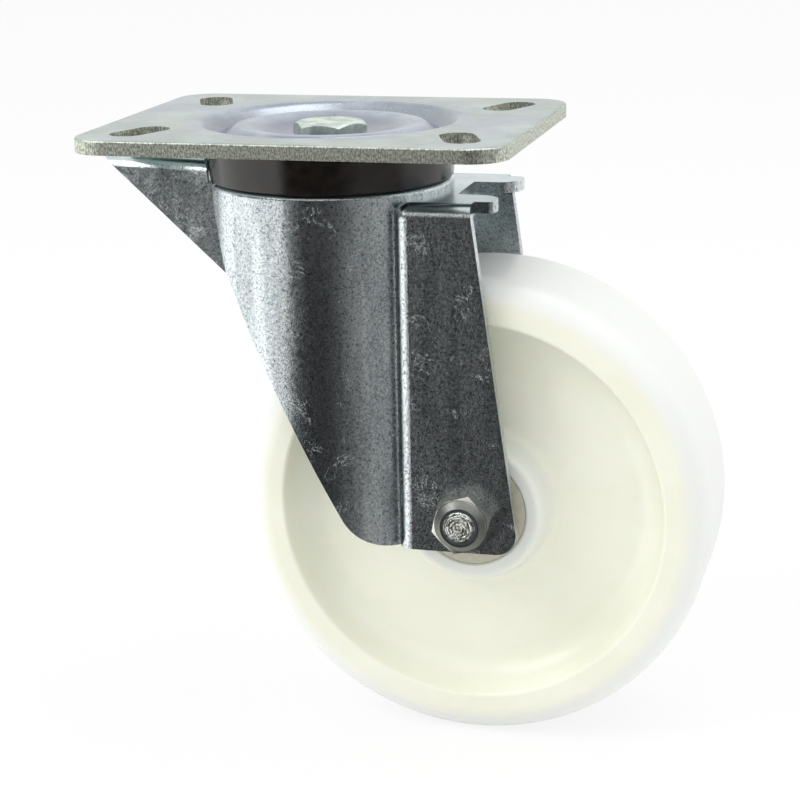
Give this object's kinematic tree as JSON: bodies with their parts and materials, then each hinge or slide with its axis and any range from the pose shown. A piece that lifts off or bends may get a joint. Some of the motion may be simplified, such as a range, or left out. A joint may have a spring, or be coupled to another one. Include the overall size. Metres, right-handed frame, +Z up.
{
  "type": "swivel castor",
  "caption": "Heavy-duty swivel castor: slotted square-cornered top plate, pressed steel fork on two ball rings, solid pale polyamide wheel on ball bearings",
  "frame": {"origin": "centre of the top plate's mounting face, on the king pin's axis", "axes": "+Z up out of the mounting face and along the king pin; +X along the plate's long side, the way the wheel trails; +Y from the nut end of the axle to its head end"},
  "size_m": [0.1985, 0.11, 0.195],
  "materials": {
    "plate_zinc": "zinc plated, pale grey-green",
    "fork_zinc": "zinc plated, bluish grey",
    "pin_zinc": "zinc plated",
    "bolt_zinc": "zinc plated",
    "ball_steel": "polished bearing steel",
    "cage_steel": "pressed steel",
    "spacer_steel": "turned steel",
    "ring_plastic": "glossy near-black",
    "insert_plastic": "dull dark plastic",
    "polyamide": "satin cream-white polyamide",
    "seal_plastic": "satin beige"
  },
  "bodies": {
    "plate": {"top_plate": "plate_zinc", "kingpin": "pin_zinc", "lower_race": "fork_zinc", "kingpin_washer": "pin_zinc", "kingpin_nut": "pin_zinc"},
    "swivel_fork": {"fork": "fork_zinc", "upper_balls": "ball_steel", "lower_balls": "ball_steel", "dust_ring": "ring_plastic", "axle_bolt": "bolt_zinc", "axle_nut": "bolt_zinc", "nut_insert": "insert_plastic", "axle_sleeve": "spacer_steel", "side_spacer_near": "spacer_steel", "side_spacer_far": "spacer_steel", "bearing_spacer": "spacer_steel", "bearing_inner_near": "ball_steel", "bearing_inner_far": "ball_steel"},
    "wheel_body": {"wheel": "polyamide", "bearing_outer_near": "ball_steel", "bearing_outer_far": "ball_steel", "bearing_balls_near": "ball_steel", "bearing_balls_far": "ball_steel", "bearing_cage_near": "cage_steel", "bearing_cage_far": "cage_steel", "hub_seal_near": "seal_plastic", "hub_seal_far": "seal_plastic"}
  },
  "joints": [
    {"name": "swivel", "type": "hinge", "parent": "plate", "child": "swivel_fork", "pos_m": [0, 0, 0], "axis": [0, 0, 1], "continuous": true},
    {"name": "wheel_spin", "type": "hinge", "parent": "swivel_fork", "child": "wheel_body", "pos_m": [0.05, 0, -0.12], "axis": [0, 1, 0], "continuous": true}
  ]
}
